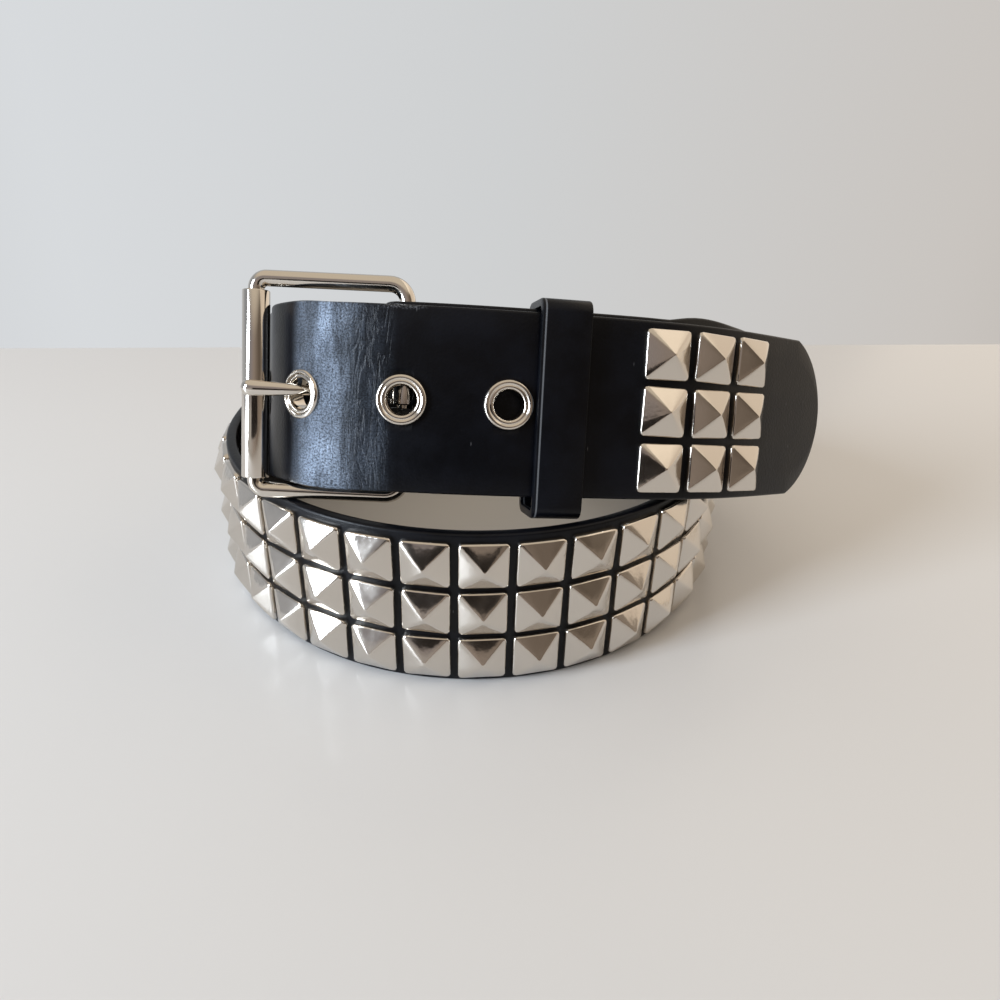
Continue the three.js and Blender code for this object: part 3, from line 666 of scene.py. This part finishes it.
def half_width(length):
    past = np.asarray(length) - (STRAP_LENGTH - TIP_ROUND)
    rounded = np.sqrt(np.maximum(TIP_ROUND**2 - np.maximum(past, 0) ** 2, (TIP_FLAT / 2) ** 2))
    return np.minimum(rounded, STRAP_WIDTH / 2)


def strap_profile():
    """The section's corners and faces: share of the half width, offset from it, and depth."""
    r = EDGE_ROUND
    rows = []
    for side, start in ((1, 0), (-1, 90), (-1, 180), (1, 270)):
        level = HALF - r if start < 180 else r - HALF
        for k in range(4):
            turn = math.radians(start + 30 * k)
            rows.append((side, r * (math.cos(turn) - side), level + r * math.sin(turn)))
        if start == 0:
            rows += [(share, 0, HALF) for share in (0.7, 0.35, 0, -0.35, -0.7)]
        if start == 180:
            rows += [(share, 0, -HALF) for share in (-0.5, 0, 0.5)]
    return rows


def build_strap():
    straight = math.sqrt(TIP_ROUND**2 - (STRAP_WIDTH / 2) ** 2)
    tip_centre = STRAP_LENGTH - TIP_ROUND
    count = round((tip_centre + straight) / STATION_STEP)
    body = np.linspace(0, tip_centre + straight, count)
    last = math.acos(TIP_FLAT / 2 / TIP_ROUND)
    turns = np.linspace(math.asin(straight / TIP_ROUND), last, TIP_STATIONS)[1:]
    lengths = np.concatenate([body, tip_centre + TIP_ROUND * np.sin(turns)])
    point, _, width, outward = at(lengths)
    reach = half_width(lengths)
    profile = strap_profile()
    points = np.zeros((len(lengths), len(profile), 3))
    uv = np.zeros((len(lengths), len(profile), 2))
    for j, (side, offset, depth) in enumerate(profile):
        across = side * reach + offset
        points[:, j] = point + width * across[:, None] + outward * depth
        uv[:, j, 0] = lengths / TEXTURE_UNIT
        uv[:, j, 1] = (across + TEXTURE_SHIFT) / TEXTURE_UNIT
    faces = ring_faces(len(lengths), len(profile))
    return make_piece("strap_leather", points.reshape(-1, 3), faces, LEATHER, uv.reshape(-1, 2))


strap = build_strap()


# Studs


def stud_shape():
    """One stud about its own middle: a skirt with a rounded rim under a slightly convex pyramid."""
    half = STUD_SIZE / 2
    rows = [(-STUD_FOOT, half), (0.3, half), (STUD_SKIRT - 0.4, half - 0.02)]
    rows += [(STUD_SKIRT - 0.12, half - 0.12), (STUD_SKIRT + 0.06, half - STUD_RIM)]
    for share in (0.86, 0.66, 0.45, 0.25, 0.1, 0.04):
        bulge = STUD_BULGE * math.sin(math.pi * share)
        height = STUD_SKIRT + 0.06 + STUD_RISE * (1 - share) + bulge
        rows.append((height, (half - STUD_RIM) * share))
    points = []
    for height, reach in rows:
        corner = STUD_CORNER * (0.25 + 0.75 * reach / half) * min(1.0, reach / 1.5)
        flat = reach - corner
        middle = flat + corner * math.cos(math.pi / 4)
        outline = [(reach, t * flat) for t in (-0.5, 0.0, 0.5, 1.0)]
        outline += [(middle, middle), (flat, reach)]
        for c, w in ((1, 0), (0, 1), (-1, 0), (0, -1)):
            points += [(x * c - y * w, x * w + y * c, height) for x, y in outline]
    points.append((0, 0, STUD_SKIRT + STUD_RISE))
    faces = ring_faces(len(rows), STUD_SIDES)[:-1]
    top = (len(rows) - 1) * STUD_SIDES
    for j in range(STUD_SIDES):
        faces.append((top + j, top + (j + 1) % STUD_SIDES, len(points) - 1))
    return np.array(points), faces


STUD_POINTS, STUD_FACES = stud_shape()


def add_studs(name, spots, replaced):
    points, faces = [], []
    for point, tangent, width, outward in spots:
        turn, lean_a, lean_b = rng.normal(0, 1, 3) * np.radians(STUD_LEANS)
        along = unit(tangent + width * turn + outward * lean_a)
        out = unit(outward - tangent * lean_a + width * lean_b)
        side = np.cross(out, along)
        basis = np.stack([along, side, out])
        faces += shifted(STUD_FACES, len(points) * len(STUD_POINTS))
        points.append(point + STUD_POINTS @ basis)
    piece = make_piece(name, np.vstack(points), faces, STUD_METAL, sharp=75)
    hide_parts(*replaced)
    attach(piece, "root")


def row_offset(row):
    return ((ROW_COUNT - 1) / 2 - row) * ROW_PITCH


def on_facet(length, reach, across, depth):
    point, tangent, width, outward = facet(length - reach, length + reach)
    return point + width * across + outward * depth, tangent, width, outward


def field_spots():
    phase = RING_MIDDLE + FIELD_PHASE
    first = math.ceil((BAR_LENGTH + FIELD_FROM_BAR - phase) / FIELD_PITCH)
    last = math.floor((STRAP_LENGTH - FIELD_FROM_TIP - phase) / FIELD_PITCH)
    spots = []
    for i in range(first, last):
        length = phase + (i + 0.5) * FIELD_PITCH
        for row in range(ROW_COUNT):
            spots.append(on_facet(length, FIELD_PITCH / 2, row_offset(row), HALF + STUD_FOOT))
    return spots


add_studs("long_field_studs", field_spots(), ["stud_field"])
tip_spots, tip_names = [], []
for column in range(TIP_STUD_COLUMNS):
    for row in range(ROW_COUNT):
        length = STRAP_LENGTH - TIP_STUD_START - column * TIP_STUD_PITCH
        tip_spots.append(on_facet(length, TIP_STUD_PITCH / 2, row_offset(row), HALF + STUD_FOOT))
        tip_names.append(f"tip_stud_{column + 1}_{row + 1}")
add_studs("tip_block_studs", tip_spots, tip_names)


# Eyelets


def eyelet_profile():
    """A closed profile, radius and height: a double rolled rim in front, a flat rim behind."""
    seat = HALF + 0.05
    back = -HALF - 0.1
    rows = [(EYELET_HOLE, back), (EYELET_BACK_RIM, back), (EYELET_BACK_RIM, -HALF + 0.25)]
    rows += [(EYELET_BARREL, -HALF + 0.4), (EYELET_BARREL, seat)]
    rows += arc((EYELET_RIM - EYELET_ROLL, seat + 0.55), EYELET_ROLL, -60, 130, 9)
    rows += arc((EYELET_INNER_ROLL, seat + 0.35), EYELET_ROLL, 60, 180, 8)
    rows.append((EYELET_HOLE, seat - 0.3))
    return rows


def add_eyelets():
    profile = eyelet_profile()
    points, faces = [], []
    for length in EYELET_LENGTHS:
        point, tangent, width, outward = on_facet(length, EYELET_REACH, 0, 0)
        found, found_faces = lathe(profile, 48, point, (tangent, -width, outward))
        faces += shifted(found_faces, len(points) * len(found))
        points.append(found)
    piece = make_piece("eyelet_rims", np.vstack(points), faces, BUCKLE_METAL, sharp=60)
    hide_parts(*[f"eyelet_{i + 1}" for i in range(EYELET_COUNT)])
    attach(piece, "root")


add_eyelets()


# Buckle

BUCKLE_UP = width_direction(1)
BUCKLE_ALONG = unit(np.array([1.0, 0, 0]) - BUCKLE_UP * BUCKLE_UP[0])
BUCKLE_OUT = np.cross(BUCKLE_ALONG, BUCKLE_UP)
BAR_CENTRE = strap_centre(BAR_SPOT) + BUCKLE_UP * BUCKLE_RISE


def on_buckle(along, across, out):
    return BAR_CENTRE + BUCKLE_ALONG * along + BUCKLE_UP * across + BUCKLE_OUT * out


def add_buckle_frame():
    high = BUCKLE_HIGH / 2
    corners = [
        (-BUCKLE_SPAN, -high, 180, ROLLER_CORNER),
        (0, -high, 270, BAR_CORNER),
        (0, high, 0, BAR_CORNER),
        (-BUCKLE_SPAN, high, 90, ROLLER_CORNER),
    ]
    centres = []
    for x, y, start, radius in corners:
        cx = x + radius if x < 0 else x - radius
        cy = y + radius if y < 0 else y - radius
        centres += [on_buckle(a, b, 0) for a, b in arc((cx, cy), radius, start, start + 90, 10)]
    dense = []
    for i, here in enumerate(centres):
        there = centres[(i + 1) % len(centres)]
        pieces = max(1, round(np.linalg.norm(there - here) / 2.5))
        dense += [here + (there - here) * k / pieces for k in range(pieces)]
    points, faces = tube(dense, WIRE / 2, 24, BUCKLE_OUT, closed=True)
    piece = make_piece("buckle_wire", points, faces, BUCKLE_METAL)
    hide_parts("buckle_frame")
    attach(piece, "root")


def add_roller():
    reach = ROLLER_LENGTH / 2
    outer, edge, step = ROLLER_OUTER, ROLLER_EDGE, ROLLER_EDGE_STEP
    inner = outer - ROLLER_WALL
    profile = [(inner, -reach), (outer - edge, -reach), (outer - step, -reach + step)]
    profile += [(outer, -reach + edge), (outer, reach - edge)]
    profile += [(outer - step, reach - step), (outer - edge, reach), (inner, reach)]
    origin = on_buckle(-BUCKLE_SPAN, 0, 0)
    points, faces = lathe(profile, 64, origin, (BUCKLE_OUT, BUCKLE_ALONG, BUCKLE_UP))
    piece = make_piece("roller_tube", points, faces, BUCKLE_METAL, sharp=50)
    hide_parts("buckle_roller")
    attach(piece, "roller")


def add_prong():
    rest = ROLLER_OUTER + FIT_GAP + PRONG_THICK / 2
    eye_outer = WIRE / 2 + FIT_GAP + PRONG_EYE_WALL
    length = EYELET_LENGTHS[PRONG_EYELET]
    hole = facet(length - EYELET_REACH, length + EYELET_REACH)[0] - BAR_CENTRE
    along, out = hole @ BUCKLE_ALONG, hole @ BUCKLE_OUT
    rows = [(-eye_outer + PRONG_EYE_JOIN, 0), (-eye_outer - PRONG_HEEL, 0)]
    for ahead, climbed, lifted in PRONG_IN_HOLE:
        rows.append((along + ahead, out + climbed * PRONG_CLIMB + lifted))
    rows.append((-BUCKLE_SPAN + PRONG_FLAT, rest - 0.1))
    rows.append((-BUCKLE_SPAN, rest))
    rows.append((-BUCKLE_SPAN - PRONG_OVERHANG, rest - PRONG_TIP_DROP))
    across = -BUCKLE_RISE
    spine = smooth_curve([on_buckle(a, across, b) for a, b in rows], 10)[0]
    ahead = unit(spine[-1] - spine[-2])
    radius = PRONG_THICK / 2
    turns = np.radians(np.linspace(0, 88, 9)[1:])
    nose = [spine[-1] + ahead * radius * math.sin(t) for t in turns]
    radii = [radius] * len(spine) + [radius * math.cos(t) for t in turns]
    pin, faces = tube(np.vstack([spine, nose]), radii, 24, BUCKLE_UP)
    reach = (pin - BAR_CENTRE) @ BUCKLE_ALONG
    aside = (pin - BAR_CENTRE) @ BUCKLE_UP - across
    widen = np.interp(reach, PRONG_WIDENS_AT, PRONG_WIDENS_BY)
    points = pin + np.outer(aside * (widen - 1), BUCKLE_UP)
    half, edge = PRONG_EYE_WIDTH / 2, PRONG_EYE_EDGE
    inner = WIRE / 2 + PRONG_EYE_PLAY
    profile = [(inner, -half), (eye_outer - edge, -half), (eye_outer, -half + edge)]
    profile += [(eye_outer, half - edge), (eye_outer - edge, half), (inner, half)]
    centre = on_buckle(0, across, 0)
    eye, eye_faces = lathe(profile, 40, centre, (BUCKLE_OUT, BUCKLE_ALONG, BUCKLE_UP))
    faces += shifted(eye_faces, len(points))
    piece = make_piece("prong_pin", np.vstack([points, eye]), faces, BUCKLE_METAL)
    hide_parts("buckle_prong")
    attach(piece, "root")


add_buckle_frame()
add_roller()
add_prong()


# Keeper


def add_keeper():
    point, tangent, width, outward = at(FRONT_BAR_LENGTH + KEEPER_FROM_BAR)
    high = STRAP_WIDTH / 2 + KEEPER_OVER_EDGE
    outer = HALF + KEEPER_SLACK
    inner = -HALF - 2 * LAYER_PITCH - KEEPER_SLACK

    def outline(grow, corner):
        left, right = inner - grow, outer + grow
        low, top = -high - grow - KEEPER_DROP, high + grow - KEEPER_DROP
        rows = arc((right - corner, low + corner), corner, -90, 0, 8)
        rows += arc((right - corner, top - corner), corner, 0, 90, 8)
        rows += arc((left + corner, top - corner), corner, 90, 180, 8)
        rows += arc((left + corner, low + corner), corner, 180, 270, 8)
        return rows

    thick, corner, edge, step = KEEPER_THICK, KEEPER_CORNER, KEEPER_EDGE, KEEPER_EDGE_STEP
    inner_corner, inner_edge = KEEPER_INNER_CORNER, KEEPER_INNER_EDGE
    reach = KEEPER_WIDTH / 2
    rings = [
        (outline(thick - edge, corner - edge), -reach),
        (outline(thick - step, corner - step), -reach + step),
        (outline(thick, corner), -reach + edge),
        (outline(thick, corner), reach - edge),
        (outline(thick - step, corner - step), reach - step),
        (outline(thick - edge, corner - edge), reach),
        (outline(inner_edge, inner_corner + inner_edge), reach),
        (outline(0, inner_corner), reach - inner_edge),
        (outline(0, inner_corner), -reach + inner_edge),
        (outline(inner_edge, inner_corner + inner_edge), -reach),
    ]
    points = []
    uv = []
    for rows, along in rings:
        for depth, across in rows:
            points.append(point + outward * depth + width * across + tangent * along)
            right, up = across + KEEPER_SHIFT, along + TEXTURE_SHIFT
            uv.append((right / TEXTURE_UNIT, up / TEXTURE_UNIT))
    faces = ring_faces(len(rings), len(rings[0][0]), closed=True)
    piece = make_piece("keeper_band", points, faces, KEEPER_LEATHER, uv)
    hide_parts("keeper")
    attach(piece, "root")


add_keeper()


# Holes in the strap

HOLE_OVER_BARREL = 0.35
HOLE_SIDES = 40
CUT_PAST = 1


def slot_cutter():
    """The oval slot in the fold, where the prong turns on its bar."""
    half = SLOT_WIDTH / 2
    reach = SLOT_REACH - half
    left = -FOLD_RADIUS - STRAP_THICK
    outline = [(left, -half)] + arc((reach, 0), half, -90, 90, 16) + [(left, half)]
    low = -FOLD_RADIUS - HALF - LAYER_GAP
    high = FOLD_RADIUS + HALF + LAYER_GAP / 2
    rings = [[on_buckle(a, b - BUCKLE_RISE, depth) for a, b in outline] for depth in (low, high)]
    return np.array(rings[0] + rings[1]), ring_faces(2, len(outline))


def hole_cutter(length):
    point, tangent, width, outward = on_facet(length, EYELET_REACH, 0, 0)
    rings = []
    last = 360 - 360 / HOLE_SIDES
    rows = arc((0, 0), EYELET_HOLE + HOLE_OVER_BARREL, 0, last, HOLE_SIDES - 1)
    for depth in (-HALF - CUT_PAST, HALF + CUT_PAST):
        rings.append([point + tangent * a + width * b + outward * depth for a, b in rows])
    return np.array(rings[0] + rings[1]), ring_faces(2, len(rings[0]))


def cut_holes(piece):
    for points, faces in [hole_cutter(length) for length in EYELET_LENGTHS] + [slot_cutter()]:
        cutter = make_piece("cutter", points, faces, LEATHER)
        step = piece.modifiers.new("hole", "BOOLEAN")
        step.operation = "DIFFERENCE"
        step.solver = "EXACT"
        step.object = cutter
        bpy.context.view_layer.update()
        graph = bpy.context.evaluated_depsgraph_get()
        cut = bpy.data.meshes.new_from_object(piece.evaluated_get(graph))
        piece.modifiers.clear()
        piece.data = cut
        bpy.data.objects.remove(cutter)


cut_holes(strap)
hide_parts("strap")
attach(strap, "root")


# Table, room, lights and camera

# The table ends behind the belt on a slanting line, with the pale room beyond it.
TABLE_OUTLINE = [(-3000, -3000), (3000, -3000), (3000, 616), (-3000, -157)]
TABLE_HEIGHT = -0.1


def add_table():
    material, shader = principled("white_table")
    shader.inputs["Base Color"].default_value = (0.69, 0.685, 0.685, 1)
    shader.inputs["Roughness"].default_value = 0.28
    shader.inputs["Specular IOR Level"].default_value = 0.35
    points = [(x, y, TABLE_HEIGHT) for x, y in TABLE_OUTLINE]
    table = make_piece("table", points, [(0, 1, 2, 3)], material, smooth=False)


# The room seen from the belt, by direction: degrees from the viewer's side, positive to the
# right, and the colour there, first level with the belt and then higher up. The viewer's own
# side is darker higher up, and the right side is warm.
ROOM_LEVEL = [
    (-180, (0.62, 0.63, 0.635)),
    (-150, (0.685, 0.705, 0.725)),
    (-95, (0.46, 0.48, 0.51)),
    (-60, (0.40, 0.40, 0.42)),
    (-25, (0.50, 0.47, 0.44)),
    (5, (0.36, 0.30, 0.26)),
    (30, (0.22, 0.175, 0.14)),
    (58, (0.30, 0.24, 0.19)),
    (90, (0.31, 0.26, 0.21)),
    (120, (0.40, 0.34, 0.28)),
    (150, (0.585, 0.555, 0.525)),
    (180, (0.62, 0.63, 0.635)),
]
ROOM_HIGHER = [
    (-180, (0.56, 0.56, 0.56)),
    (-140, (0.52, 0.54, 0.56)),
    (-90, (0.34, 0.36, 0.39)),
    (-66, (0.30, 0.31, 0.33)),
    (-34, (0.27, 0.25, 0.26)),
    (-18, (0.32, 0.28, 0.27)),
    (2, (0.33, 0.27, 0.23)),
    (28, (0.22, 0.175, 0.14)),
    (50, (0.13, 0.10, 0.076)),
    (80, (0.30, 0.245, 0.19)),
    (125, (0.36, 0.30, 0.24)),
    (180, (0.56, 0.56, 0.56)),
]
ROOM_ABOVE = (0.72, 0.63, 0.51)
# Where one look of the room gives way to the next, as the upward part of a direction.
HIGHER_BETWEEN = (0.17, 0.28)
ABOVE_BETWEEN = (0.55, 0.8)


def add_room():
    world = bpy.data.worlds.new("room")
    bpy.context.scene.world = world
    world.use_nodes = True
    links = world.node_tree.links
    split = new_node(world, "SeparateXYZ", new_node(world, "TexCoord").outputs["Generated"])
    right, back, up = (split.outputs[axis] for axis in "XYZ")
    turn = math_node(world, "ARCTAN2", right, product(world, back, -1))
    share = ranged(world, turn, -math.pi, math.pi, 0, 1, smooth=False)
    colours = []
    for table in (ROOM_LEVEL, ROOM_HIGHER):
        around = new_node(world, "ValToRGB")
        links.new(share, around.inputs["Fac"])
        stops = around.color_ramp.elements
        while len(stops) < len(table):
            stops.new(0.5)
        for stop, row in zip(stops, table):
            stop.position = (row[0] + 180) / 360
        for stop, row in zip(stops, table):
            stop.color = (*row[1], 1)
        colours.append(around.outputs["Color"])
    higher = mixed_colour(world, ranged(world, up, *HIGHER_BETWEEN, 0, 1), *colours)
    above = ranged(world, up, *ABOVE_BETWEEN, 0, 1)
    background = world.node_tree.nodes["Background"]
    links.new(mixed_colour(world, above, higher, ROOM_ABOVE), background.inputs["Color"])
    background.inputs["Strength"].default_value = 1.0


# A dark upright card just behind the camera, which the studs mirror as they mirror the viewer.
# Its sides are in millimetres from the part's own origin, and no camera sees it.
CARD = {"left": -125, "right": 60, "low": 73, "high": 141, "back": -255}


def add_card():
    material, shader = principled("dark_card")
    shader.inputs["Base Color"].default_value = (0.018, 0.013, 0.011, 1)
    shader.inputs["Roughness"].default_value = 0.9
    left, right, low, high = CARD["left"], CARD["right"], CARD["low"], CARD["high"]
    corners = [(left, low), (right, low), (right, high), (left, high)]
    mesh = bpy.data.meshes.new("dark_card")
    mesh.from_pydata([(x * MM, CARD["back"] * MM, z * MM) for x, z in corners], [], [(0, 1, 2, 3)])
    mesh.materials.append(material)
    card = add_object("dark_card", mesh)
    card.visible_camera = False
    card.visible_shadow = False


def matrix_of(side, up, back, where):
    basis = np.column_stack([side, up, back, where])
    return Matrix([*basis.tolist(), [0, 0, 0, 1]])


def add_light(name, where, target, size, power, colour):
    lamp = bpy.data.lights.new(name, "AREA")
    lamp.shape = "RECTANGLE"
    lamp.size, lamp.size_y = size
    lamp.energy = power
    lamp.color = colour
    light = add_object(name, lamp)
    where = np.asarray(where, float) * MM + LAYOUT_ORIGIN
    target = np.asarray(target, float) * MM + LAYOUT_ORIGIN
    back = unit(where - target)
    side = unit(np.cross([0, 0, 1.0], back))
    light.matrix_world = matrix_of(side, np.cross(back, side), back, where)


CAMERA_AT = (9.89, -229.37, 135.68)
CAMERA_PITCH = math.radians(28.0)
CAMERA_ROLL = math.radians(1.9)
CAMERA_LENS = 27.07
CAMERA_SENSOR = 36


def add_camera():
    pitch, roll = CAMERA_PITCH, CAMERA_ROLL
    level = np.array([1.0, 0, 0])
    ahead = np.array([0, math.cos(pitch), -math.sin(pitch)])
    upright = np.array([0, math.sin(pitch), math.cos(pitch)])
    right = level * math.cos(roll) + upright * math.sin(roll)
    up = -level * math.sin(roll) + upright * math.cos(roll)
    data = bpy.data.cameras.new("camera")
    data.sensor_width = CAMERA_SENSOR
    data.lens = CAMERA_LENS
    data.clip_start, data.clip_end = 0.01, 20
    camera = add_object("camera", data)
    where = np.array(CAMERA_AT) * MM + LAYOUT_ORIGIN
    camera.matrix_world = matrix_of(right, up, -ahead, where)
    bpy.context.scene.camera = camera


add_table()
add_room()
add_card()
add_light(
    "window",
    where=(-950, -640, 410),
    target=(0, 0, 50),
    size=(0.36, 0.8),
    power=20,
    colour=(0.80, 0.895, 1.0),
)
add_light(
    "lamp",
    where=(800, 300, 520),
    target=(60, 0, 20),
    size=(1.6, 1.2),
    power=3.4,
    colour=(1.0, 0.86, 0.70),
)
add_camera()
bpy.context.scene.view_settings.view_transform = "Standard"
